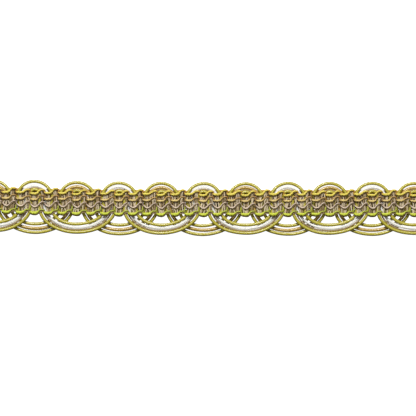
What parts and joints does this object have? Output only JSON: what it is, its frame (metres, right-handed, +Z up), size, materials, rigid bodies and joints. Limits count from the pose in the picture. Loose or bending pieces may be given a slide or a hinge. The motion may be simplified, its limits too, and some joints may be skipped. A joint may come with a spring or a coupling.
{
  "type": "gimp braid trim",
  "caption": "Straight length of flat braid: waving gimp cords held by crocheted chains, with small round arches along one edge and wide overlapping scallops along the other.",
  "frame": {"origin": "on the surface that the braid lies on, under the centre of its box", "axes": "+X along the braid, +Y across it towards the small arches, +Z up out of its face"},
  "size_m": [0.1666, 0.02, 0.0031],
  "materials": {
    "olive_gimp": "wrapped rayon cord with a soft sheen",
    "antique_gold_gimp": "wrapped rayon cord with a soft sheen",
    "silver_gimp": "wrapped rayon cord with a bright sheen",
    "gold_yarn": "plied yarn, soft sheen",
    "tan_yarn": "plied yarn, soft sheen",
    "mauve_yarn": "plied yarn, matt",
    "lime_yarn": "plied yarn, soft sheen",
    "taupe_yarn": "thin plied yarn, matt",
    "cream_yarn": "soft plied yarn, matt"
  },
  "bodies": {
    "root": {"back_cord_outer": "olive_gimp", "back_cord_gold": "antique_gold_gimp", "back_cord_inner": "olive_gimp", "front_cord_outer": "olive_gimp", "front_cord_silver": "silver_gimp", "front_cord_inner": "olive_gimp", "chain_gold": "gold_yarn", "chain_tan": "tan_yarn", "chain_mauve": "mauve_yarn", "chain_lime": "lime_yarn"}
  },
  "joints": []
}
